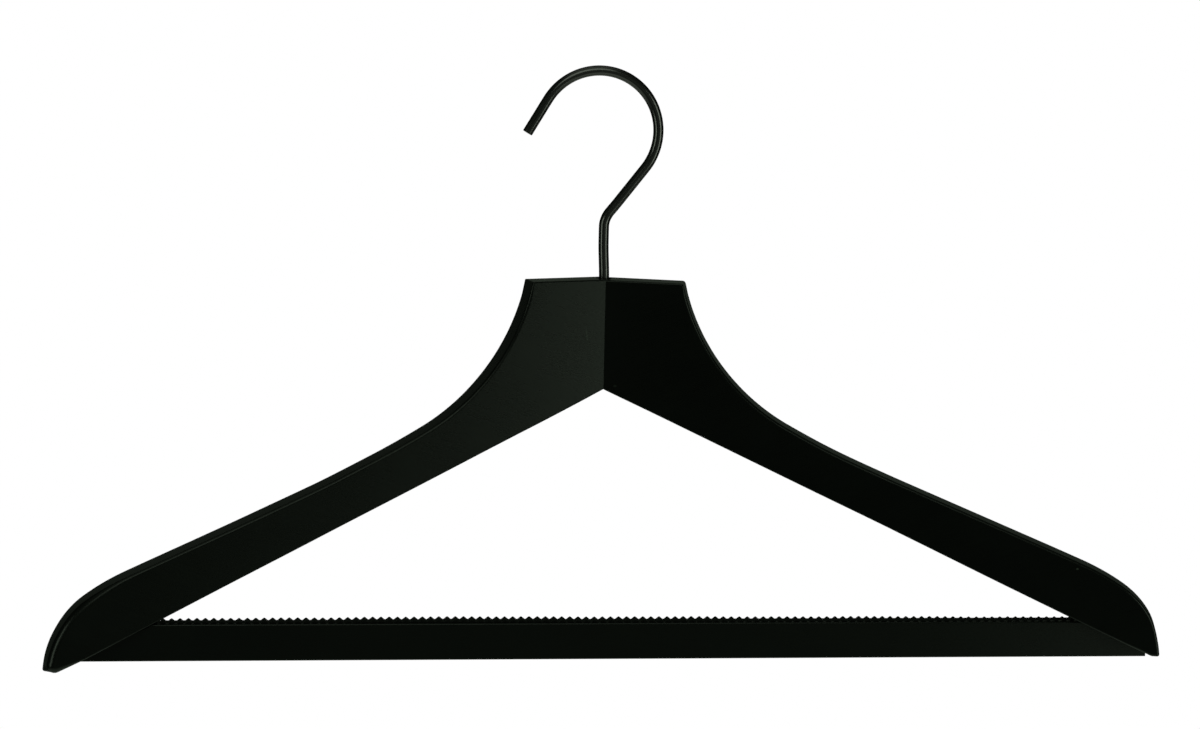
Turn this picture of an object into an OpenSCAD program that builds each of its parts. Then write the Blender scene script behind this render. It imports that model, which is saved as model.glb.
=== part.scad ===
// Wooden trouser hanger: two swept shoulder boards joined at the middle, a
// swivelling wire hook, and a fixed bar with a ribbed anti-slip strip.
// Millimetres. +Z is up, +X to the right seen from the front, -Y towards the
// viewer. The origin is the point inside the hook where the rail carries it.

/* [Shoulder boards] */
// Thickness of the board, across its faces
board_t = 10; // [9:0.5:12]
// How far each board is swept forwards from the plane of the hook, degrees
sweep = 15; // [12:0.5:18]
// Half width of the flat top of the block, along the board's front face
top_half = 31.8; // [30:0.2:33]
// Height of the block at the middle joint
block_h = 45.5; // [44:0.5:48]
// Fall of the straight lower edge, per millimetre outwards
lower_fall = 0.444; // [0.43:0.002:0.46]
// Steepness of the neck where it leaves the top, degrees below level
neck_start = 78; // [76:0.5:80]
// Radius of the hollow neck curve
neck_r = 87; // [84:1:90]
// How far the neck curve turns, degrees
neck_turn = 50; // [48:0.5:52]
// Radius of the long easy curve between the neck and the slope
ease_r = 455; // [420:5:480]
// Length of the straight slope
slope_len = 81; // [70:1:84]
// Radius where the slope rolls over into the shoulder end
roll_r = 94; // [85:1:105]
// Radius of the shoulder end
end_r = 36; // [34:1:40]
// Depth below the block's top of the small flat that trims the shoulder end
nose_down = 146.5; // [145.5:0.1:147]

/* [Middle joint] */
// Reach of the glued fingers to each side of the joint
finger_reach = 2.2; // [1.6:0.1:2.3]
// Number of fingers through the depth of the block
finger_n = 3; // [1:2:3]

/* [Hook] */
// Diameter of the hook wire
wire_d = 4.2; // [3.8:0.1:4.4]
// Inside diameter of the hook's loop
loop_id = 45; // [42:1:48]
// Height of the loop's centre above the top of the block
loop_up = 60.7; // [58:0.1:64]
// Sideways distance from the loop's centre to the shank
loop_side = 3.4; // [1:0.1:5]
// Lean of the straight run below the loop, degrees from upright
run_lean = 38; // [36:0.5:40]
// Radius of the bend between the run and the shank, on the wire's centre line
bend_r = 10; // [8:0.5:12]
// Where the loop ends and the straight tip begins, degrees
tip_at = 149; // [140:1:155]
// Length of the straight tip
tip_len = 16; // [10:0.5:18]
// Diameter of the upset head at the foot of the shank
head_d = 6.4; // [6:0.1:6.6]

/* [Hook seat in the block] */
// Diameter of the bore that takes the bush
bush_od = 6; // [5.6:0.1:6.4]
// How far the bush sits below the top of the block
bush_sink = 1.5; // [1:0.5:3]
// Length of the bush
bush_len = 22; // [18:1:24]
// Radial running clearance between the shank and the bush
swivel_gap = 0.07; // [0.04:0.01:0.09]
// Depth of the ledge that the washer bears on, below the top of the block
ledge_down = 30; // [28:1:32]
// Diameter of the counterbore in the underside of the block
cbore_d = 7.4; // [7.2:0.1:7.6]

/* [Trouser bar] */
// Depth of the bar, front to back
bar_t = 8; // [7:0.5:9]
// Height of the bar
bar_h = 15; // [14:0.5:16]
// Distance of the bar's front face ahead of the block's front corner
bar_ahead = 48; // [46:0.5:50]
// Height of the bar's underside, below the top of the block, at the middle
bar_down = 147.1; // [146:0.05:150]
// Lean of the bar from level, degrees, left end high
bar_lean = 0.7; // [0:0.1:1]
// Distance of the bar's sawn-off ends inside the shoulder ends, along the board
bar_short = 5; // [4:0.5:8]

/* [Anti-slip strip] */
// Width of the strip and of its groove
strip_w = 4; // [3:0.5:4.5]
// Depth of the groove
groove_d = 2.5; // [2:0.5:3]
// Height of the strip's body above the top of the bar, under the ribs
strip_up = 0.2; // [0.1:0.1:0.6]
// Height of the ribs
rib_h = 1.1; // [0.8:0.1:1.4]
// Distance from rib to rib
rib_pitch = 3.3; // [3:0.1:3.6]

/* [Screws] */
// Diameter of the screws that hold the bar
screw_d = 2.5; // [2:0.1:3]
// Length of a screw
screw_len = 25; // [20:1:28]
// Diameter of the countersunk head
screw_head_d = 4.8; // [4.4:0.1:5.2]
// Forward skew of the screws as they rise, degrees
screw_skew = 12; // [8:1:14]
// Distance of the screw beyond the bar's inner corner
screw_out = 4.5; // [4:0.5:6]

/* [Hidden] */
$fn = 64;

lacquer = "#141613";
wire_black = "#101010";
rubber_black = "#1a1a1a";
steel = "#9a9c9e";

loop_r = (loop_id + wire_d) / 2;             // centre line of the loop
seat_h = loop_up + loop_id / 2;              // rail seat above the block
block_z = -seat_h;                           // top of the block
shank_x = loop_side;                         // axis of the shank and the joint
joint_t = board_t / cos(sweep);              // depth of the block at the joint
front_y = -joint_t / 2;                      // front edge of the joint
far = 400;

// ---- outline of a board in its own plane: [distance outwards, height] ----
function heading(h) = [cos(h), sin(h)];
// points of an arc that starts at p with heading h, turning left if turn > 0
function arc(p, h, r, turn, n) =
    let (s = turn > 0 ? 1 : -1, c = p + s * r * [-sin(h), cos(h)])
    [for (i = [1:n]) let (a = h + turn * i / n) c - s * r * [-sin(a), cos(a)]];
function last(v) = v[len(v) - 1];

ease_turn = 6.5;
roll_turn = 11.5;
end_turn = 70;
h0 = -neck_start;
neck = arc([top_half, 0], h0, neck_r, neck_turn, 20);
h1 = h0 + neck_turn;
ease = arc(last(neck), h1, ease_r, ease_turn, 6);
h2 = h1 + ease_turn;
slope_end = last(ease) + slope_len * heading(h2);
roll = arc(slope_end, h2, roll_r, -roll_turn, 5);
h3 = h2 - roll_turn;
tip = arc(last(roll), h3, end_r, -end_turn, 20);

function lower_z(s) = -block_h - lower_fall * s;
nose_s = (nose_down - block_h) / lower_fall;   // inner end of the trimming flat
tip_s = max([for (q = tip) q[0]]);             // reach of the shoulder end

// ---- placing things on the boards ----
// side = 1 for the right board, -1 for the left; the local X runs outwards
// along the board, Y is up from the top of the block and Z runs forwards from
// the back face
module on_board(side) {
    translate([shank_x, front_y, block_z])
        mirror([side < 0 ? 1 : 0, 0, 0])
            rotate([0, 0, -sweep])
                translate([0, board_t, 0])
                    rotate([90, 0, 0]) children();
}

module board_outline() {
    intersection() {
        polygon(concat([[-12, 0], [top_half, 0]], neck, ease, [slope_end],
                       roll, tip, [[last(tip)[0], -far], [-12, -far]]));
        polygon([[-12, lower_z(-12)], [nose_s, -nose_down], [260, -nose_down],
                 [260, 10], [-12, 10]]);
    }
}

// everything above the plane of a board's lower edge
module above_edge(side) {
    on_board(side) translate([0, 0, -60]) linear_extrude(150)
        polygon([[-40, lower_z(-40)], [300, lower_z(300)], [300, 120], [-40, 120]]);
}

// the side of the finger joint that belongs to one board, seen from above
module joint_side(side) {
    p = joint_t / finger_n;
    zig = [for (i = [0:2 * finger_n - 1])
              [(i % 2 == 0 ? 1 : -1) * finger_reach, front_y + p * (2 * i + 1) / 4]];
    translate([shank_x, 0, block_z - far / 2]) linear_extrude(far)
        polygon(concat([[0, -far], [0, front_y + 0.3]], zig,
                       [[0, -front_y - 0.3], [0, far], [side * far, far], [side * far, -far]]));
}

module seat_bores() {
    translate([shank_x, 0, block_z]) {
        translate([0, 0, -bush_sink - bush_len]) cylinder(d = bush_od, h = far);
        translate([0, 0, -ledge_down - 1]) cylinder(d = 5, h = far);
        translate([0, 0, -ledge_down - 60]) cylinder(d = cbore_d, h = 60);
    }
}

module board(side) {
    difference() {
        intersection() {
            on_board(side) linear_extrude(board_t) board_outline();
            joint_side(side);
        }
        seat_bores();
        screw_pilots();
    }
}

module left_arm() { color(lacquer) board(-1); }
module right_arm() { color(lacquer) board(1); }

// ---- hook ----
run_top = loop_r * [cos(run_lean), -sin(run_lean)];       // loop meets the run
run_to_corner = (run_top[0] - shank_x) / sin(run_lean);
bend_t = bend_r * tan(run_lean / 2);
run_len = run_to_corner - bend_t;
loop_z = -loop_id / 2;
corner_z = loop_z + run_top[1] - run_to_corner * cos(run_lean);
head_h = 1.6;
washer_t = 0.8;
shank_d = wire_d + 0.02;
shank_bottom = block_z - ledge_down - washer_t - 0.1;     // top of the head

// part of a ring of wire lying in the XZ plane
module wire_arc(r, turn) {
    rotate([90, 0, 0]) rotate_extrude(angle = turn) translate([r, 0]) circle(d = wire_d);
}

// drawn up and down from the lower end of the straight run
module hook() {
    color(wire_black)
        translate([shank_x + bend_t * sin(run_lean), 0, corner_z + bend_t * cos(run_lean)])
            rotate([0, run_lean, 0]) {
                cylinder(d = wire_d, h = run_len);
                translate([-loop_r, 0, run_len]) {
                    wire_arc(loop_r, run_lean + tip_at);
                    rotate([0, -run_lean - tip_at, 0]) translate([loop_r, 0, 0])
                        cylinder(d = wire_d, h = tip_len);
                }
                translate([bend_r, 0, 0]) rotate([0, 180, 0]) {
                    wire_arc(bend_r, run_lean);
                    rotate([0, -run_lean, 0]) translate([bend_r, 0, 0]) {
                        cylinder(d = shank_d, h = corner_z - bend_t - shank_bottom);
                        // upset head with a chamfered lower edge
                        translate([0, 0, corner_z - bend_t - shank_bottom])
                            rotate_extrude()
                                polygon([[0, 0], [head_d / 2, 0], [head_d / 2, head_h - 0.4],
                                         [head_d / 2 - 0.4, head_h], [0, head_h]]);
                    }
                }
            }
}

module hook_bush() {
    color(steel) translate([shank_x, 0, block_z - bush_sink - bush_len])
        difference() {
            cylinder(d = bush_od, h = bush_len);
            translate([0, 0, -1]) cylinder(d = shank_d + 2 * swivel_gap, h = bush_len + 2);
        }
}

module hook_washer() {
    color(steel) translate([shank_x, 0, block_z - ledge_down - washer_t])
        difference() {
            cylinder(d = 7.2, h = washer_t);
            translate([0, 0, -1]) cylinder(d = 4.9, h = washer_t + 2);
        }
}

// ---- trouser bar ----
// local origin: the middle of the bar's underside, on its front face
module on_bar() {
    translate([shank_x, front_y - bar_ahead, block_z - bar_down])
        rotate([0, bar_lean, 0]) children();
}

// inner corner of the bar on each side, measured along the bar from the middle:
// where its top meets the lower edge of the board, at the bar's mid depth
corner_depth = -bar_ahead + bar_t / 2;
function corner_x(side) =
    (bar_down - bar_h - block_h + lower_fall * corner_depth * sin(sweep))
    / (lower_fall * cos(sweep) - side * tan(bar_lean));

// a screw, head down, on its own axis; grow makes the hole for it
module screw_shape(cross) {
    difference() {
        rotate_extrude() polygon([[0, 0], [screw_head_d / 2, 0], [screw_head_d / 2, 0.3],
                                  [screw_d / 2, 1.6], [screw_d / 2, screw_len - 2.5],
                                  [0, screw_len]]);
        if (cross) for (a = [0, 90]) rotate([0, 0, a])
            translate([-1.3, -0.3, -1]) cube([2.6, 0.6, 1.9]);
    }
}

module at_screws() {
    for (side = [-1, 1]) on_bar()
        translate([side * (corner_x(side) + screw_out), bar_t / 2, 0.5])
            rotate([screw_skew, 0, 0]) children();
}

module screw_pilots() {
    at_screws() screw_shape(false);
}

module bar_blank() {
    difference() {
        on_bar() translate([-250, 0, 0]) cube([500, bar_t, bar_h]);
        for (side = [-1, 1]) {
            above_edge(side);
            on_board(side) translate([tip_s - bar_short, -far, -60]) cube([100, far, 150]);
        }
    }
}

module trouser_bar() {
    color(lacquer) difference() {
        bar_blank();
        on_bar() translate([-250, (bar_t - strip_w) / 2, bar_h - groove_d])
            cube([500, strip_w, groove_d + 5]);
        at_screws() {
            screw_shape(false);
            // relief below the sunk head
            translate([0, 0, -3]) cylinder(d = screw_head_d, h = 3.01);
        }
    }
}

// the strip is moulded rubber: a flat body with rounded ribs across it
rib_n = floor((corner_x(1) + corner_x(-1)) / rib_pitch);
rib_steps = 4;
module grip_strip() {
    x0 = -corner_x(-1);
    x1 = corner_x(1);
    base = groove_d + strip_up;
    first = (x0 + x1 - (rib_n - 1) * rib_pitch) / 2;
    ribs = [for (i = [0:rib_n - 1], k = [0:rib_steps])
               let (u = k / rib_steps)
               if (k > 0 || i == 0)
               [first + (i + u - 0.5) * rib_pitch,
                base + rib_h * (0.5 - 0.5 * cos(360 * u))]];
    color(rubber_black) difference() {
        on_bar() translate([0, (bar_t + strip_w) / 2, bar_h - groove_d])
            rotate([90, 0, 0]) linear_extrude(strip_w)
                polygon(concat([[x0, 0], [x0, base]], ribs, [[x1, base], [x1, 0]]));
        above_edge(1);
        above_edge(-1);
    }
}

module bar_screws() { color(steel) at_screws() screw_shape(true); }

left_arm();
right_arm();
hook();
hook_bush();
hook_washer();
trouser_bar();
grip_strip();
bar_screws();
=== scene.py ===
import math

import bmesh
import bpy
from mathutils import Matrix, Vector


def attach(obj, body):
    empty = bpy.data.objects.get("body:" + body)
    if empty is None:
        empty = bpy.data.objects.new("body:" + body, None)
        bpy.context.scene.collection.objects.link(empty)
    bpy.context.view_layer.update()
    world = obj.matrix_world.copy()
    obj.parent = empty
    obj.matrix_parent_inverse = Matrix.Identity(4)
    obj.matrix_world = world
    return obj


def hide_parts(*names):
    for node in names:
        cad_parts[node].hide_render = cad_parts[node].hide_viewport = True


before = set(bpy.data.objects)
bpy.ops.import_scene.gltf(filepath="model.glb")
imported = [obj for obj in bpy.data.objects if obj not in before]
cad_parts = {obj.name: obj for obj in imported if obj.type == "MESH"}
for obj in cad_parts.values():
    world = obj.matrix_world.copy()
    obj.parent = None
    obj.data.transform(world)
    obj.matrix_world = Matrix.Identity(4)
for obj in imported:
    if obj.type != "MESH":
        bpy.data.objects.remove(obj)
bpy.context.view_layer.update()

MM = 0.001

# ------------------------------------------------------------------ sizes (mm)
BOARD_T, SWEEP = 10.0, math.radians(15)
TOP_HALF, BLOCK_H, LOWER_FALL = 31.8, 45.5, 0.444
WIRE_R, LOOP_ID, LOOP_UP, SHANK_X = 2.1, 45.0, 60.7, 3.4
RUN_LEAN, BEND_R, TIP_AT, TIP_LEN = 38.0, 10.0, 149.0, 16.0
BAR_T, BAR_H, BAR_AHEAD, BAR_DOWN = 8.0, 15.0, 48.0, 147.1
BAR_LEAN = math.radians(0.7)
STRIP_W, GROOVE_D, RIB_H, RIB_PITCH = 4.0, 2.5, 1.1, 3.3
NOSE_DOWN, BAR_SHORT = 146.5, 5.0
FRONT_Y = -BOARD_T / math.cos(SWEEP) / 2
LOOP_R = LOOP_ID / 2 + WIRE_R
BLOCK_Z = -(LOOP_UP + LOOP_ID / 2)
TIP_S = 231.4              # reach of the shoulder end along a board


# ------------------------------------------------------------------ helpers
def heading(deg):
    a = math.radians(deg)
    return Vector((math.cos(a), math.sin(a)))


def arc(p, h, r, turn, n):
    """Points of an arc from p with heading h, turning left if turn > 0."""
    s = 1 if turn > 0 else -1
    nrm = Vector((-heading(h).y, heading(h).x))
    c = p + s * r * nrm
    out = []
    for i in range(1, n + 1):
        a = h + turn * i / n
        d = heading(a)
        out.append(c - s * r * Vector((-d.y, d.x)))
    return out


def fillet(a, b, c, r, n):
    """Points that round corner b of the path a-b-c."""
    u, v = (a - b).normalized(), (c - b).normalized()
    half = math.acos(max(-1, min(1, u.dot(v)))) / 2
    d = r / math.tan(half)
    centre = b + (u + v).normalized() * (r / math.sin(half))
    p, q = b + u * d, b + v * d
    a0 = math.atan2(p.y - centre.y, p.x - centre.x)
    a1 = math.atan2(q.y - centre.y, q.x - centre.x)
    while a1 - a0 > math.pi:
        a1 -= 2 * math.pi
    while a1 - a0 < -math.pi:
        a1 += 2 * math.pi
    return [centre + r * Vector((math.cos(a0 + (a1 - a0) * i / n), math.sin(a0 + (a1 - a0) * i / n)))
            for i in range(n + 1)]


def inset(poly, dist):
    """Closed counter-clockwise polygon moved inwards by each point's distance, corners mitred."""
    out, n = [], len(poly)
    for i in range(n):
        p0, p1, p2 = poly[i - 1], poly[i], poly[(i + 1) % n]
        e1, e2 = (p1 - p0).normalized(), (p2 - p1).normalized()
        n1, n2 = Vector((-e1.y, e1.x)), Vector((-e2.y, e2.x))
        out.append(p1 + (n1 + n2) * (dist[i] / (1 + n1.dot(n2))))
    return out


def smooth(a, b, x):
    t = max(0.0, min(1.0, (x - a) / (b - a)))
    return t * t * (3 - 2 * t)


def new_object(name, bm):
    me = bpy.data.meshes.new(name)
    bmesh.ops.recalc_face_normals(bm, faces=bm.faces)
    bm.to_mesh(me)
    bm.free()
    o = bpy.data.objects.new(name, me)
    bpy.context.scene.collection.objects.link(o)
    return o


def slab(shape, depth, place, steps=6):
    """A board whose outline and arris radii come from shape(front, how far in), 0 to 1."""
    bm = bmesh.new()
    loops = []
    for front in (False, True):
        for k in range(steps + 1):
            a = math.pi / 2 * k / steps
            c, t = (1 - math.cos(a), 1 - math.sin(a)) if front else (1 - math.sin(a), 1 - math.cos(a))
            poly, radii = shape(front, c)
            pts = inset(poly, [r * c for r in radii])
            loops.append([bm.verts.new(place(p.x, p.y, depth - r * t if front else r * t))
                          for p, r in zip(pts, radii)])
    n = len(loops[0])
    for a, b in zip(loops, loops[1:]):
        for i in range(n):
            j = (i + 1) % n
            bm.faces.new((a[i], a[j], b[j], b[i]))
    bm.faces.new(list(reversed(loops[0])))
    bm.faces.new(loops[-1])
    return bm


def cut(bm, point, normal):
    """Takes away what lies on the normal's side of a plane, and closes the cut."""
    geom = list(bm.verts) + list(bm.edges) + list(bm.faces)
    res = bmesh.ops.bisect_plane(bm, geom=geom, dist=1e-8, plane_co=point, plane_no=normal,
                                 clear_outer=True)
    edges = [e for e in res["geom_cut"] if isinstance(e, bmesh.types.BMEdge) and e.is_boundary]
    if edges:
        bmesh.ops.holes_fill(bm, edges=edges, sides=0)


def boolean(o, other, kind):
    m = o.modifiers.new("cut", "BOOLEAN")
    m.operation = kind
    m.solver = "EXACT"
    m.object = other
    dg = bpy.context.evaluated_depsgraph_get()
    me = bpy.data.meshes.new_from_object(o.evaluated_get(dg))
    o.modifiers.clear()
    old = o.data
    o.data = me
    me.name = old.name
    bpy.data.meshes.remove(old)
    bpy.data.objects.remove(other)


def finish_shading(o, sharp_deg=32):
    me = o.data
    bm = bmesh.new()
    bm.from_mesh(me)
    bmesh.ops.remove_doubles(bm, verts=bm.verts, dist=2e-7)
    bmesh.ops.dissolve_degenerate(bm, dist=1e-7, edges=bm.edges)
    bmesh.ops.dissolve_limit(bm, angle_limit=math.radians(0.03), verts=bm.verts, edges=bm.edges)
    for f in bm.faces:
        f.smooth = True
    lim = math.radians(sharp_deg)
    for e in bm.edges:
        e.smooth = not (len(e.link_faces) == 2 and e.calc_face_angle(0) > lim)
    bm.to_mesh(me)
    bm.free()
    w = o.modifiers.new("normals", "WEIGHTED_NORMAL")
    w.mode = "FACE_AREA"
    w.weight = 100
    w.keep_sharp = True
    return o


def lathe(name, profile, at, axis=None, seg=64):
    """A closed solid turned from (radius, height) points about an axis through at."""
    bm = bmesh.new()
    q = Vector((0, 0, 1)).rotation_difference(Vector(axis or (0, 0, 1))).to_matrix()
    rings = []
    for r, z in profile:
        if r < 1e-9:
            rings.append([bm.verts.new(Vector(at) + q @ Vector((0, 0, z)))])
        else:
            rings.append([bm.verts.new(Vector(at) + q @ Vector((r * math.cos(2 * math.pi * i / seg),
                                                                r * math.sin(2 * math.pi * i / seg), z)))
                          for i in range(seg)])
    for a, b in zip(rings, rings[1:]):
        for i in range(seg):
            j = (i + 1) % seg
            if len(a) == 1:
                bm.faces.new((a[0], b[j], b[i]))
            elif len(b) == 1:
                bm.faces.new((a[i], a[j], b[0]))
            else:
                bm.faces.new((a[i], a[j], b[j], b[i]))
    if len(rings[0]) > 1:
        bm.faces.new(list(reversed(rings[0])))
    if len(rings[-1]) > 1:
        bm.faces.new(rings[-1])
    return new_object(name, bm)


# ------------------------------------------------------------------ the boards
def lower_z(s):
    return -BLOCK_H - LOWER_FALL * s


def raised(side, s, z):
    """How far the sanded upper edge stands out of the drawn curve."""
    if side < 0:
        k = 0.22 + 0.20 * math.exp(-((s - 105) / 13) ** 2) + 0.42 * smooth(150, 203, s)
        k *= 1 - smooth(116, 132, -z)
    else:
        k = 0.15 + 0.46 * smooth(88, 118, s) - 0.12 * smooth(185, 205, s) + 0.12 * smooth(217, 226, s)
        k *= 1 - smooth(130, 141, -z)
    return k * smooth(30, 55, s)


def sunk(side, s):
    """How far the lower edge lies below the drawn line."""
    if side < 0:
        k = 0.13 + 0.13 * smooth(0, 20, s) - 0.42 * smooth(65, 150, s)
        return k + 0.15 * smooth(0, 6, s) * (1 - smooth(25, 45, s)) + 0.12 * math.exp(-((s - 135) / 18) ** 2)
    k = 0.20 - 0.18 * smooth(0, 25, s) + 0.22 * smooth(130, 170, s) - 0.20 * smooth(200, 225, s)
    return k - 0.12 * math.exp(-((s - 113) / 16) ** 2)


def board_shape(side):
    """Outline of a board, counter-clockwise, with an arris radius for every point."""
    top_z = 0.36 if side < 0 else -0.32
    top_r = 0.45 if side < 0 else 1.5

    def shape(front, c):
        end_round = 3.0 if side < 0 and front else 1.2
        neck = arc(Vector((TOP_HALF, 0)), -78, 87, 50, 56)
        ease = arc(neck[-1], -28, 455, 6.5, 20)
        slope = ease[-1] + 81 * heading(-21.5)
        roll = arc(slope, -21.5, 94, -11.5, 12)
        tip = arc(roll[-1], -33, 36, -70, 60)
        last = [p for p in tip if -144.8 < p.y <= -141.2]
        tip = [p for p in tip if p.y > -141.2]
        edge = neck[2:] + ease + [ease[-1].lerp(slope, i / 12) for i in range(1, 12)] + [slope] + roll + tip
        out = []
        for i, p in enumerate(edge):
            d = (edge[min(i + 1, len(edge) - 1)] - edge[max(i - 1, 0)]).normalized()
            out.append(p + Vector((-d.y, d.x)) * raised(side, p.x, p.y))
        edge = out
        start = Vector((TOP_HALF - 0.2 * top_z, top_z))
        corner = fillet(Vector((-12, 0.1)), start, edge[1], max(top_r, 1.2 * c + 0.04), 5)
        # the shoulder end, trimmed by a small flat, or rounded over where it was sanded away
        d = (tip[-1] - tip[-2]).normalized()
        low = Vector((0, lower_z(0)))
        nose_down = NOSE_DOWN + (0.5 if side < 0 else 0.3)
        inner = Vector(((nose_down - BLOCK_H) / LOWER_FALL, -nose_down))
        if side < 0 and front:
            # where the end's line meets the lower edge's
            t = (lower_z(edge[-1].x) - edge[-1].y) / (d.y + LOWER_FALL * d.x)
            nose = fillet(edge[-1], edge[-1] + d * t, low, max(3.2, end_round * c + 0.05), 11 + len(last))
        else:
            d = (last[-1] - last[-2]).normalized()
            flat = last[-1] + d * ((last[-1].y + nose_down) / -d.y)
            nose = last + fillet(last[-1], flat, inner, max(0.9, 1.2 * c + 0.05), 6) + fillet(flat, inner, low, 3.0, 4)
        low0, low1 = nose[-1], Vector((-12, lower_z(-12)))
        under = [low0.lerp(low1, i / 24) for i in range(1, 25)]
        under = [p - Vector((0, sunk(side, max(0, p.x)))) for p in under]
        path = [Vector((-12, 0.1))] + corner + edge[1:] + nose + under
        radii = []
        for i, p in enumerate(path):
            k = smooth(196, 222, p.x)
            upper = 1.2 + (end_round - 1.2) * k - 0.55 * (1 - smooth(0.5, 7, -p.y))
            radii.append(upper if i < len(path) - len(under) else 0.75)
        path.reverse()                      # counter-clockwise
        radii.reverse()
        return path, radii
    return shape


def on_board(side):
    ax = Vector((side * math.cos(SWEEP), -math.sin(SWEEP), 0))
    nf = Vector((-side * math.sin(SWEEP), -math.cos(SWEEP), 0))     # out of the front face
    o = Vector((SHANK_X, FRONT_Y, BLOCK_Z))

    def place(s, z, t):
        return (o + ax * s + Vector((0, 0, z)) - nf * (BOARD_T - t)) * MM
    return place, ax, nf


def joint_cutter(side):
    """The side of the glued finger joint that belongs to one board."""
    reach, n = 2.2, 3
    p = -2 * FRONT_Y / n
    pts = [(0, -60), (0, FRONT_Y + 0.3)]
    pts += [((1 if i % 2 == 0 else -1) * reach, FRONT_Y + p * (2 * i + 1) / 4) for i in range(2 * n)]
    pts += [(0, -FRONT_Y - 0.3), (0, 30), (side * 300, 30), (side * 300, -90), (0, -90)]
    pts = pts[1:]
    bm = bmesh.new()
    lo = [bm.verts.new(Vector((SHANK_X + x, y, -260)) * MM) for x, y in pts]
    hi = [bm.verts.new(Vector((SHANK_X + x, y, 20)) * MM) for x, y in pts]
    n = len(pts)
    for i in range(n):
        j = (i + 1) % n
        bm.faces.new((lo[i], lo[j], hi[j], hi[i]))
    bm.faces.new(lo)
    bm.faces.new(hi)
    return new_object("cutter", bm)


def board(name, side, node):
    place, ax, nf = on_board(side)
    o = new_object(name, slab(board_shape(side), BOARD_T, place))
    boolean(o, joint_cutter(side), "INTERSECT")
    z = BLOCK_Z * MM
    # the stepped hole for the bush, the shank and the head, with a softened mouth
    prof = [(3.7, -0.120), (3.7, -0.0300), (2.5, -0.0300), (2.5, -0.0235), (3.0, -0.0235),
            (3.0, -0.0004), (3.25, -0.0001), (3.45, 0.0006), (3.45, 0.010)]
    drill = lathe("drill", [(r * MM, h) for r, h in prof], (SHANK_X * MM, 0, z))
    boolean(o, drill, "DIFFERENCE")
    finish_shading(o)
    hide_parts(node)
    return o


left_board = board("left_board", -1, "left_arm")
right_board = board("right_board", 1, "right_arm")


# ------------------------------------------------------------------ the hook
def sweep(name, path, radii, seg=48):
    """A wire through the points, each with its own radius, in the XZ plane."""
    bm = bmesh.new()
    rings = []
    n = len(path)
    for i, (p, r) in enumerate(zip(path, radii)):
        a, b = path[max(i - 1, 0)], path[min(i + 1, n - 1)]
        if (b - a).length < 1e-9:
            a, b = path[max(i - 2, 0)], path[min(i + 2, n - 1)]
        t = (b - a).normalized()
        side = Vector((t.z, 0, -t.x))
        back = Vector((0, 1, 0))
        rings.append([bm.verts.new((p + (side * math.cos(2 * math.pi * k / seg)
                                         + back * math.sin(2 * math.pi * k / seg)) * r) * MM)
                      for k in range(seg)])
    for a, b in zip(rings, rings[1:]):
        for k in range(seg):
            j = (k + 1) % seg
            bm.faces.new((a[k], a[j], b[j], b[k]))
    bm.faces.new(list(reversed(rings[0])))
    bm.faces.new(rings[-1])
    return new_object(name, bm)


def hook_path():
    lean = math.radians(RUN_LEAN)
    up = Vector((math.sin(lean), 0, math.cos(lean)))
    centre = Vector((0, 0, -LOOP_ID / 2))
    run_top = centre + LOOP_R * Vector((math.cos(lean), 0, -math.sin(lean)))
    reach = (run_top.x - SHANK_X) / math.sin(lean)
    corner = run_top - up * reach
    bt = BEND_R * math.tan(lean / 2)
    foot = BLOCK_Z - 30 - 0.8 - 0.1
    pts, rad = [], []

    def add(p, r=WIRE_R):
        pts.append(p)
        rad.append(r)
    # upset head, then the shank
    add(Vector((SHANK_X, 0, foot - 1.6)), 2.6)
    add(Vector((SHANK_X, 0, foot - 1.5)), 2.9)
    add(Vector((SHANK_X, 0, foot - 1.25)), 3.15)
    add(Vector((SHANK_X, 0, foot - 0.3)), 3.2)
    add(Vector((SHANK_X, 0, foot - 0.05)), 3.1)
    add(Vector((SHANK_X, 0, foot + 0.0)), 2.95)
    add(Vector((SHANK_X, 0, foot + 0.001)), WIRE_R)
    z0, z1 = foot + 0.3, corner.z - bt
    for i in range(24):
        add(Vector((SHANK_X, 0, z0 + (z1 - z0) * i / 24)))
    bc = Vector((SHANK_X + BEND_R, 0, z1))
    for i in range(17):
        a = lean * i / 16
        add(bc + BEND_R * Vector((-math.cos(a), 0, math.sin(a))))
    p0, p1 = pts[-1], run_top
    for i in range(1, 10):
        add(p0.lerp(p1, i / 10))
    for i in range(97):
        a = -lean + (lean + math.radians(TIP_AT)) * i / 96
        add(centre + LOOP_R * Vector((math.cos(a), 0, math.sin(a))))
    a = math.radians(TIP_AT)
    d = Vector((-math.sin(a), 0, math.cos(a)))
    end = pts[-1]
    for s in (3, 6, 9, 12, 15):
        add(end + d * s)
    add(end + d * (TIP_LEN - 0.3))
    add(end + d * (TIP_LEN - 0.12), WIRE_R - 0.07)
    add(end + d * (TIP_LEN - 0.02), WIRE_R - 0.22)
    add(end + d * TIP_LEN, WIRE_R - 0.4)
    rad = [min(r, 2.09) if p.z > -20 else r for p, r in zip(pts, rad)]
    # the wire isn't quite straight between the block and its bend
    for p in pts:
        if BLOCK_Z < p.z < BLOCK_Z + 40:
            p.x -= 0.5 * smooth(0, 15, p.z - BLOCK_Z) * (1 - smooth(20, 32, p.z - BLOCK_Z))
    return pts, rad


wire = sweep("wire_hook", *hook_path())
finish_shading(wire, 40)
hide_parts("hook")


# ------------------------------------------------------------------ the bar
BAR_O = Vector((SHANK_X, FRONT_Y - BAR_AHEAD, BLOCK_Z - BAR_DOWN))
BAR_M = Matrix.Rotation(BAR_LEAN, 3, "Y")


def on_bar(x, y, z):
    return (BAR_O + BAR_M @ Vector((x, y, z))) * MM


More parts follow.
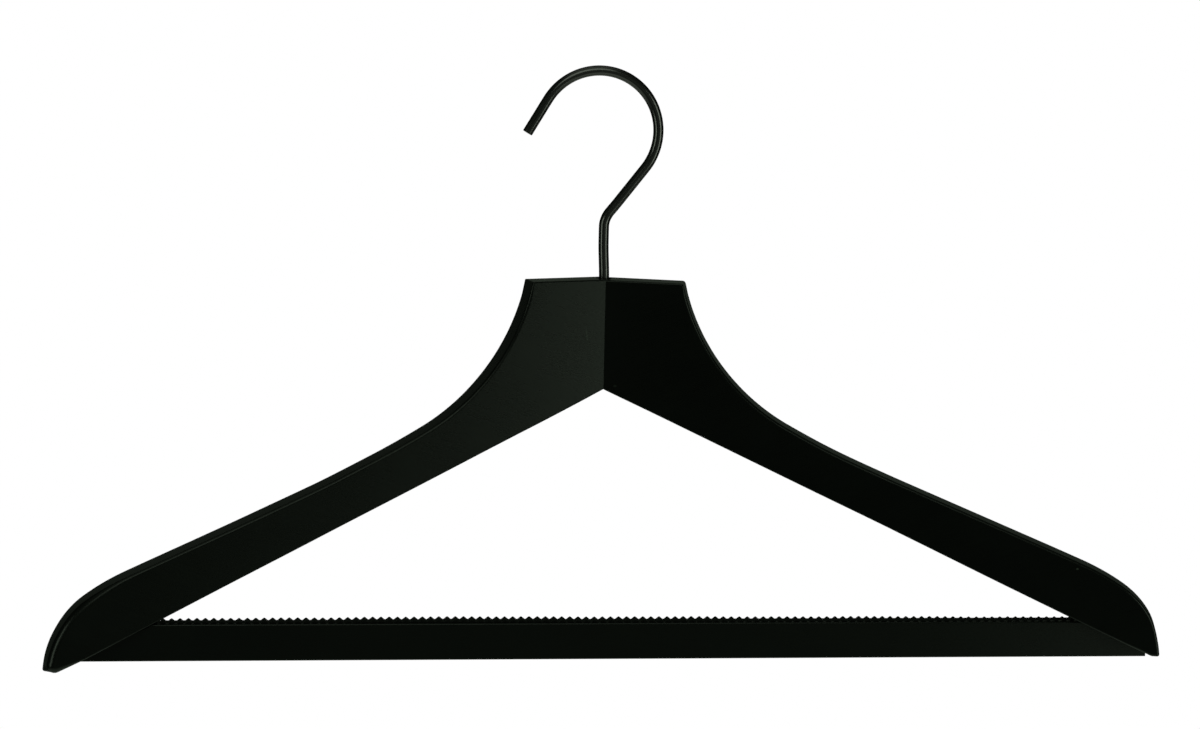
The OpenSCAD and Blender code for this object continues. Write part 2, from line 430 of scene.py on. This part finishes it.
def round_section(r, back, groove):
    """Closed section of the bar, seen along +X: (depth, height)."""
    w, h = BAR_T, BAR_H
    pts = []

    def corner(cy, cz, a0, r=r):
        for i in range(7):
            a = math.radians(a0 + 90 * i / 6)
            pts.append((cy + r * math.cos(a), cz + r * math.sin(a)))
    corner(r, r, 180)
    corner(w - r, r, 270)
    corner(w - back, h - back, 0, back)
    if groove:
        g0, g1, gb = (w - STRIP_W) / 2, (w + STRIP_W) / 2, h - GROOVE_D
        pts.extend([(g1 + 0.12, h), (g1, h - 0.12), (g1, gb), (g0, gb), (g0, h - 0.12), (g0 - 0.12, h)])
    corner(r, h - r, 90)
    return pts


def extrude_x(name, section, xs, dz=None):
    bm = bmesh.new()
    loops = [[bm.verts.new(on_bar(x, y, z)) for y, z in section] for x in xs]
    n = len(section)
    for a, b in zip(loops, loops[1:]):
        for i in range(n):
            j = (i + 1) % n
            bm.faces.new((a[i], a[j], b[j], b[i]))
    bm.faces.new(loops[0])
    bm.faces.new(list(reversed(loops[-1])))
    bmesh.ops.recalc_face_normals(bm, faces=bm.faces)
    return bm


def board_plane(side):
    """A point on the plane of a board's lower edge, and its normal, up out of the bar."""
    place, ax, nf = on_board(side)
    p, q = place(0, lower_z(0), 0), place(100, lower_z(100), 0)
    along = (q - p).normalized()
    n = along.cross(nf).normalized()
    return p, (n if n.z > 0 else -n)


def end_cuts(bm, ease_r):
    for side in (1, -1):
        place, ax, nf = on_board(side)
        p, n2 = board_plane(side)
        cut(bm, p, n2)
        # the cut's front and back arrises, eased with three narrow planes each
        for face_n, face_p in ((BAR_M @ Vector((0, -1, 0)), on_bar(0, 0, 0)),
                               (BAR_M @ Vector((0, 1, 0)), on_bar(0, BAR_T, 0))):
            n1 = face_n.normalized()
            r = ease_r * MM
            # a point at depth r below both planes
            a = Matrix((n1, n2, n1.cross(n2).normalized()))
            rhs = Vector((n1.dot(face_p) - r, n2.dot(p) - r, 0))
            c = a.inverted() @ rhs
            for f in (0.17, 0.5, 0.83):
                ang = n1.angle(n2)
                nn = (n1 * math.sin((1 - f) * ang) + n2 * math.sin(f * ang)) / math.sin(ang)
                nn.normalize()
                cut(bm, c + nn * r, nn)
        # sawn off short of the shoulder end
        cut(bm, place(TIP_S - BAR_SHORT, 0, 0), ax)


bm = extrude_x("bar", round_section(0.7, 1.5, True), [-250 + 500 * i / 60 for i in range(61)])
end_cuts(bm, 1.0)
bar = new_object("bar", bm)

# countersinks under the bar, one for each screw
corner_depth = -BAR_AHEAD + BAR_T / 2
for side in (-1, 1):
    cx = (BAR_DOWN - BAR_H - BLOCK_H + LOWER_FALL * corner_depth * math.sin(SWEEP)) / (
        LOWER_FALL * math.cos(SWEEP) - side * math.tan(BAR_LEAN))
    at = on_bar(side * (cx + 4.5), BAR_T / 2, 0.5)
    axis = BAR_M @ (Matrix.Rotation(math.radians(12), 3, "X") @ Vector((0, 0, 1)))
    prof = [(2.45, -3.0), (2.45, 0.32), (1.3, 1.64), (1.3, 3.0)]
    boolean(bar, lathe("drill", [(r * MM, h * MM) for r, h in prof], at, axis), "DIFFERENCE")
finish_shading(bar)
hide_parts("trouser_bar")


# ------------------------------------------------------------------ the strip
def rib(u):
    """A rounded triangle of height 1 and width 1."""
    t = 1 - abs(2 * (u % 1.0) - 1)
    c = 0.5 - 0.5 * math.cos(2 * math.pi * u)
    return 0.45 * t + 0.55 * c


def strip_top(x, phase):
    # pressed a little deeper towards both ends
    seat = BAR_H + 0.25 - 0.2 * (1 - smooth(-122, -96, x)) - 0.35 * smooth(-20, 190, x)
    seat += 0.18 * smooth(-160, -125, x) * (1 - smooth(-22, -4, x)) - 0.18 * smooth(110, 190, x)
    seat += 0.06 * math.sin(x * 0.071) + 0.04 * math.sin(x * 0.19 + 1.3)
    return seat + RIB_H * rib((x - phase) / RIB_PITCH)


def strip_mesh(phase=0.35):
    bm = bmesh.new()
    y0, y1 = (BAR_T - STRIP_W) / 2 + 0.03, (BAR_T + STRIP_W) / 2 - 0.03
    zb = BAR_H - GROOVE_D + 0.01
    step = RIB_PITCH / 12
    n = int(480 / step)
    loops = []
    for i in range(n + 1):
        x = -240 + i * step
        h = strip_top(x, phase)
        sec = [(y0, zb), (y1, zb), (y1, h - 0.42), (y1 - 0.07, h - 0.2), (y1 - 0.24, h - 0.05), (y1 - 0.5, h),
               ((y0 + y1) / 2, h), (y0 + 0.5, h), (y0 + 0.24, h - 0.05), (y0 + 0.07, h - 0.2), (y0, h - 0.42)]
        loops.append([bm.verts.new(on_bar(x, y, z)) for y, z in sec])
    m = len(loops[0])
    for a, b in zip(loops, loops[1:]):
        for i in range(m):
            j = (i + 1) % m
            bm.faces.new((a[i], a[j], b[j], b[i]))
    bm.faces.new(loops[0])
    bm.faces.new(list(reversed(loops[-1])))
    bmesh.ops.recalc_face_normals(bm, faces=bm.faces)
    for side in (1, -1):
        p, n2 = board_plane(side)
        cut(bm, p, n2)
    return bm


strip = new_object("ribbed_strip", strip_mesh())
finish_shading(strip, 50)
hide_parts("grip_strip")

for o in (left_board, right_board, bar, strip):
    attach(o, "hanger")
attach(wire, "hook_body")


# ------------------------------------------------------------------ materials
def material(name):
    m = bpy.data.materials.new(name)
    m.use_nodes = True
    nt = m.node_tree
    return m, nt, nt.nodes["Principled BSDF"]


def node(nt, kind, **values):
    n = nt.nodes.new(kind)
    for k, v in values.items():
        if hasattr(n, k):
            setattr(n, k, v)
        else:
            n.inputs[k].default_value = v
    return n


def coords(nt, rot=(0, 0, 0), scale=(1, 1, 1)):
    t = node(nt, "ShaderNodeTexCoord")
    m = node(nt, "ShaderNodeMapping")
    m.inputs["Rotation"].default_value = rot
    nt.links.new(t.outputs["Object"], m.inputs["Vector"])
    s = node(nt, "ShaderNodeVectorMath", operation="MULTIPLY")
    s.inputs[1].default_value = scale
    nt.links.new(m.outputs["Vector"], s.inputs[0])
    return t, s.outputs["Vector"]


def noise(nt, vec, scale, detail=3.0, rough=0.55, distortion=0.0):
    n = node(nt, "ShaderNodeTexNoise")
    n.inputs["Scale"].default_value = scale
    n.inputs["Detail"].default_value = detail
    n.inputs["Roughness"].default_value = rough
    n.inputs["Distortion"].default_value = distortion
    nt.links.new(vec, n.inputs["Vector"])
    return n.outputs["Fac"]


def maprange(nt, value, a, b, c, d, smooth_step=False):
    n = node(nt, "ShaderNodeMapRange")
    n.clamp = True
    if smooth_step:
        n.interpolation_type = "SMOOTHSTEP"
    for k, v in zip(("From Min", "From Max", "To Min", "To Max"), (a, b, c, d)):
        n.inputs[k].default_value = v
    nt.links.new(value, n.inputs["Value"])
    return n.outputs["Result"]


def math_node(nt, op, a, b):
    n = node(nt, "ShaderNodeMath", operation=op)
    for i, v in enumerate((a, b)):
        if isinstance(v, (int, float)):
            n.inputs[i].default_value = v
        else:
            nt.links.new(v, n.inputs[i])
    return n.outputs[0]


def mix_colour(nt, fac, a, b):
    n = node(nt, "ShaderNodeMix", data_type="RGBA")
    for i, v in ((6, a), (7, b)):
        if isinstance(v, tuple):
            n.inputs[i].default_value = v
        else:
            nt.links.new(v, n.inputs[i])
    nt.links.new(fac, n.inputs[0])
    return n.outputs[2]


def spot(nt, tex, centre, radii, turn=(0, 0, 0)):
    """1 at a small ellipsoid mark on the surface, 0 away from it. mm, row frame."""
    sub = node(nt, "ShaderNodeVectorMath", operation="SUBTRACT")
    sub.inputs[1].default_value = [c * MM for c in centre]
    nt.links.new(tex.outputs["Object"], sub.inputs[0])
    m = node(nt, "ShaderNodeMapping")
    m.inputs["Rotation"].default_value = turn
    nt.links.new(sub.outputs[0], m.inputs["Vector"])
    mul = node(nt, "ShaderNodeVectorMath", operation="MULTIPLY")
    mul.inputs[1].default_value = [1 / (r * MM) for r in radii]
    nt.links.new(m.outputs["Vector"], mul.inputs[0])
    ln = node(nt, "ShaderNodeVectorMath", operation="LENGTH")
    nt.links.new(mul.outputs[0], ln.inputs[0])
    return maprange(nt, ln.outputs["Value"], 0.55, 1.1, 1.0, 0.0, True)


def lacquer(name, grain_turn, marks=()):
    """Satin black lacquer over close-grained wood: faint grain, fine mottling, small marks."""
    m, nt, bsdf = material(name)
    tex, fine = coords(nt, grain_turn, (1, 1, 1))
    _, along = coords(nt, grain_turn, (0.055, 1.0, 1.0))
    grain = noise(nt, along, 1500, 4, 0.6, 0.15)
    pores = noise(nt, along, 4200, 2, 0.5)
    cloud = noise(nt, fine, 38, 4, 0.6)
    peel = noise(nt, fine, 620, 2, 0.5)
    speck = noise(nt, fine, 2600, 2, 0.5)
    tone = mix_colour(nt, maprange(nt, cloud, 0.3, 0.7, 0, 1), (0.0030, 0.0042, 0.0032, 1), (0.0044, 0.0058, 0.0046, 1))
    tone = mix_colour(nt, maprange(nt, speck, 0.66, 0.78, 0, 0.5), tone, (0.014, 0.018, 0.014, 1))
    rough = maprange(nt, cloud, 0.25, 0.75, 0.262, 0.298)
    rough = math_node(nt, "ADD", rough, maprange(nt, grain, 0.35, 0.7, -0.012, 0.02))
    if marks:
        total = None
        for c, r, turn, strength in marks:
            s = math_node(nt, "MULTIPLY", spot(nt, tex, c, r, turn), strength)
            total = s if total is None else math_node(nt, "MAXIMUM", total, s)
        tone = mix_colour(nt, total, tone, (0.10, 0.12, 0.10, 1))
        rough = math_node(nt, "ADD", rough, math_node(nt, "MULTIPLY", total, 0.2))
    nt.links.new(tone, bsdf.inputs["Base Color"])
    nt.links.new(rough, bsdf.inputs["Roughness"])
    bsdf.inputs["IOR"].default_value = 1.5
    h = math_node(nt, "ADD", math_node(nt, "MULTIPLY", grain, 0.5), math_node(nt, "MULTIPLY", pores, 0.2))
    h = math_node(nt, "ADD", h, math_node(nt, "MULTIPLY", peel, 0.8))
    b = node(nt, "ShaderNodeBump")
    b.inputs["Strength"].default_value = 0.16
    b.inputs["Distance"].default_value = 0.00006
    nt.links.new(h, b.inputs["Height"])
    nt.links.new(b.outputs["Normal"], bsdf.inputs["Normal"])
    return m


def black_wire():
    """Smooth black coating on round wire, drawn lines along it, worn a little at the loop."""
    m, nt, bsdf = material("black_coated_wire")
    tex, fine = coords(nt)
    cloud = noise(nt, fine, 55, 4, 0.6)
    fleck = noise(nt, fine, 1900, 3, 0.6)
    tone = mix_colour(nt, maprange(nt, cloud, 0.3, 0.7, 0, 1), (0.0060, 0.0072, 0.0060, 1), (0.0090, 0.0104, 0.0090, 1))
    nick = spot(nt, tex, (0.6, -1.0, 3.2), (0.22, 3.0, 1.6))
    rub = math_node(nt, "MAXIMUM", maprange(nt, fleck, 0.70, 0.80, 0, 0.2), math_node(nt, "MULTIPLY", nick, 0.8))
    tone = mix_colour(nt, rub, tone, (0.16, 0.17, 0.16, 1))
    nt.links.new(tone, bsdf.inputs["Base Color"])
    nt.links.new(maprange(nt, cloud, 0.25, 0.75, 0.17, 0.22), bsdf.inputs["Roughness"])
    bsdf.inputs["IOR"].default_value = 2.4
    bsdf.inputs["Specular Tint"].default_value = (1.0, 0.91, 0.98, 1)
    b = node(nt, "ShaderNodeBump")
    b.inputs["Strength"].default_value = 0.1
    b.inputs["Distance"].default_value = 0.00003
    nt.links.new(fleck, b.inputs["Height"])
    nt.links.new(b.outputs["Normal"], bsdf.inputs["Normal"])
    return m


def rubber():
    m, nt, bsdf = material("ribbed_rubber")
    tex, fine = coords(nt)
    cloud = noise(nt, fine, 60, 4, 0.6)
    grain = noise(nt, fine, 3200, 3, 0.6)
    tone = mix_colour(nt, maprange(nt, cloud, 0.3, 0.7, 0, 1), (0.0045, 0.0056, 0.0046, 1), (0.0075, 0.0088, 0.0075, 1))
    nt.links.new(tone, bsdf.inputs["Base Color"])
    nt.links.new(maprange(nt, grain, 0.3, 0.7, 0.50, 0.62), bsdf.inputs["Roughness"])
    bsdf.inputs["Specular IOR Level"].default_value = 0.3
    b = node(nt, "ShaderNodeBump")
    b.inputs["Strength"].default_value = 0.25
    b.inputs["Distance"].default_value = 0.00005
    nt.links.new(grain, b.inputs["Height"])
    nt.links.new(b.outputs["Normal"], bsdf.inputs["Normal"])
    return m


def zinc():
    m, nt, bsdf = material("zinc_plated_steel")
    tex, fine = coords(nt)
    cloud = noise(nt, fine, 420, 4, 0.65)
    lines = noise(nt, fine, 5200, 2, 0.5)
    tone = mix_colour(nt, maprange(nt, cloud, 0.3, 0.7, 0, 1), (0.50, 0.51, 0.52, 1), (0.62, 0.62, 0.60, 1))
    nt.links.new(tone, bsdf.inputs["Base Color"])
    nt.links.new(maprange(nt, cloud, 0.25, 0.75, 0.26, 0.42), bsdf.inputs["Roughness"])
    bsdf.inputs["Metallic"].default_value = 1.0
    b = node(nt, "ShaderNodeBump")
    b.inputs["Strength"].default_value = 0.2
    b.inputs["Distance"].default_value = 0.00003
    nt.links.new(lines, b.inputs["Height"])
    nt.links.new(b.outputs["Normal"], bsdf.inputs["Normal"])
    return m


slope = math.atan(LOWER_FALL)
wood_left = lacquer("black_lacquer_left", (0, -slope, -SWEEP),
                    marks=[((-4.2, -7.2, -105.6), (0.28, 3.0, 3.0), (0, 0.12, 0), 0.40)])
wood_right = lacquer("black_lacquer_right", (0, slope, SWEEP),
                     marks=[((193.2, -56.0, -194.7), (0.55, 3.0, 0.45), (0, 0, 0), 0.75),
                            ((8.0, -6.4, -127.1), (0.8, 3.0, 0.5), (0, 0, 0), 0.25)])
wood_bar = lacquer("black_lacquer_bar", (0, 0, 0))


def paint(o, m):
    o.data.materials.clear()
    o.data.materials.append(m)


paint(left_board, wood_left)
paint(right_board, wood_right)
paint(bar, wood_bar)
paint(wire, black_wire())
paint(strip, rubber())
steel = zinc()
for n in ("hook_bush", "hook_washer", "bar_screws"):
    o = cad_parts[n]
    if not o.material_slots:
        o.data.materials.append(steel)
    for s in o.material_slots:
        s.material = steel


# ------------------------------------------------------------------ camera
cam = bpy.data.cameras.new("camera")
cam.sensor_fit = "HORIZONTAL"
cam.sensor_width = 36.0
cam.lens = 83.83
cam.clip_start = 0.01
cam.clip_end = 50
camera = bpy.data.objects.new("camera", cam)
bpy.context.scene.collection.objects.link(camera)
yaw, el, roll = (math.radians(v) for v in (7.886, 9.827, 1.197))
r = Vector((math.cos(yaw), -math.sin(yaw), 0))
u = Vector((math.sin(yaw) * math.sin(el), math.cos(yaw) * math.sin(el), math.cos(el)))
b = Vector((-math.sin(yaw) * math.cos(el), -math.cos(yaw) * math.cos(el), math.sin(el)))
r2 = math.cos(roll) * r + math.sin(roll) * u
u2 = -math.sin(roll) * r + math.cos(roll) * u
c = b * 1145.65 - r2 * 2.339 - u2 * 34.585 + Vector((SHANK_X, FRONT_Y, BLOCK_Z))
camera.matrix_world = Matrix.Translation(c * MM) @ Matrix((r2, u2, b)).transposed().to_4x4()
bpy.context.scene.camera = camera


# ------------------------------------------------------------------ light and floor
TINT = (0.80, 1.0, 0.76)


def softbox(name, at, aim, size, radiance):
    lamp = bpy.data.lights.new(name, "AREA")
    lamp.shape = "RECTANGLE"
    lamp.size, lamp.size_y = size
    lamp.color = TINT
    lamp.energy = radiance * math.pi * size[0] * size[1]
    o = bpy.data.objects.new(name, lamp)
    bpy.context.scene.collection.objects.link(o)
    d = (Vector(aim) - Vector(at)).normalized()
    o.matrix_world = Matrix.Translation(Vector(at)) @ d.to_track_quat("-Z", "Y").to_matrix().to_4x4()
    o.visible_camera = False
    return o


softbox("right_box", (0.905, -0.79, -0.12), (0.04, -0.02, -0.12), (0.36, 0.92), 1.16)
softbox("low_box", (0.66, -1.08, -0.70), (0.20, -0.05, -0.23), (0.26, 0.28), 0.62)
softbox("left_box", (-1.02, -0.64, -0.10), (0.0, 0.0, -0.07), (0.30, 0.80), 1.25)
softbox("top_box", (-0.08, -0.96, 0.72), (-0.02, 0.0, -0.02), (0.85, 0.70), 0.60)

world = bpy.data.worlds.new("studio")
bpy.context.scene.world = world
world.use_nodes = True
nt = world.node_tree
bg = nt.nodes["Background"]
path = nt.nodes.new("ShaderNodeLightPath")
# the room in reflections: dark in front, dim behind, paler above and well below
tc = nt.nodes.new("ShaderNodeTexCoord")
sep = nt.nodes.new("ShaderNodeSeparateXYZ")
nt.links.new(tc.outputs["Generated"], sep.inputs[0])
behind = maprange(nt, sep.outputs["Y"], -0.1, 0.5, 0.022, 0.009, True)
wall = math_node(nt, "MULTIPLY", maprange(nt, sep.outputs["Y"], 0.75, 0.97, 0.0, 0.085, True),
                 maprange(nt, sep.outputs["Z"], 0.22, 0.45, 1.0, 0.0, True))
behind = math_node(nt, "ADD", behind, wall)
# a paler patch straight in front and a little low, seen in the bar's face
ahead = node(nt, "ShaderNodeVectorMath", operation="DOT_PRODUCT")
ahead.inputs[1].default_value = (0.137, -0.976, -0.17)
nt.links.new(tc.outputs["Generated"], ahead.inputs[0])
behind = math_node(nt, "ADD", behind, maprange(nt, ahead.outputs["Value"], 0.93, 0.99, 0.0, 0.045, True))
above = maprange(nt, sep.outputs["Z"], 0.80, 0.98, 0.0, 0.15, True)
below = maprange(nt, sep.outputs["Z"], -0.45, -0.85, 0.0, 0.25, True)
total = math_node(nt, "ADD", math_node(nt, "ADD", behind, above), below)
room = mix_colour(nt, total, (0, 0, 0, 1), (0.80, 1.0, 0.76, 1))
mix = nt.nodes.new("ShaderNodeMix")
mix.data_type = "RGBA"
nt.links.new(room, mix.inputs[6])
mix.inputs[7].default_value = (1, 1, 1, 1)
nt.links.new(path.outputs["Is Camera Ray"], mix.inputs[0])
nt.links.new(mix.outputs[2], bg.inputs["Color"])

# a plain pale floor well below the hanging part, evenly lit
fbm = bmesh.new()
ring = [fbm.verts.new((1.25 * math.cos(2 * math.pi * i / 96), 1.25 * math.sin(2 * math.pi * i / 96), -0.62))
        for i in range(96)]
fbm.faces.new(ring)
floor = new_object("floor", fbm)
fm = bpy.data.materials.new("pale_floor")
fm.use_nodes = True
nt = fm.node_tree
nt.nodes.clear()
out = nt.nodes.new("ShaderNodeOutputMaterial")
dif = nt.nodes.new("ShaderNodeBsdfDiffuse")
dif.inputs["Color"].default_value = (0.8, 0.8, 0.8, 1)
emi = nt.nodes.new("ShaderNodeEmission")
emi.inputs["Color"].default_value = (1, 1, 1, 1)
emi.inputs["Strength"].default_value = 1.0
path = nt.nodes.new("ShaderNodeLightPath")
mixs = nt.nodes.new("ShaderNodeMixShader")
nt.links.new(path.outputs["Is Camera Ray"], mixs.inputs[0])
nt.links.new(dif.outputs[0], mixs.inputs[1])
nt.links.new(emi.outputs[0], mixs.inputs[2])
nt.links.new(mixs.outputs[0], out.inputs["Surface"])
floor.data.materials.append(fm)
floor.visible_glossy = False
floor.visible_diffuse = False

bpy.context.scene.view_settings.view_transform = "Standard"
bpy.context.scene.view_settings.look = "None"

bpy.context.view_layer.update()
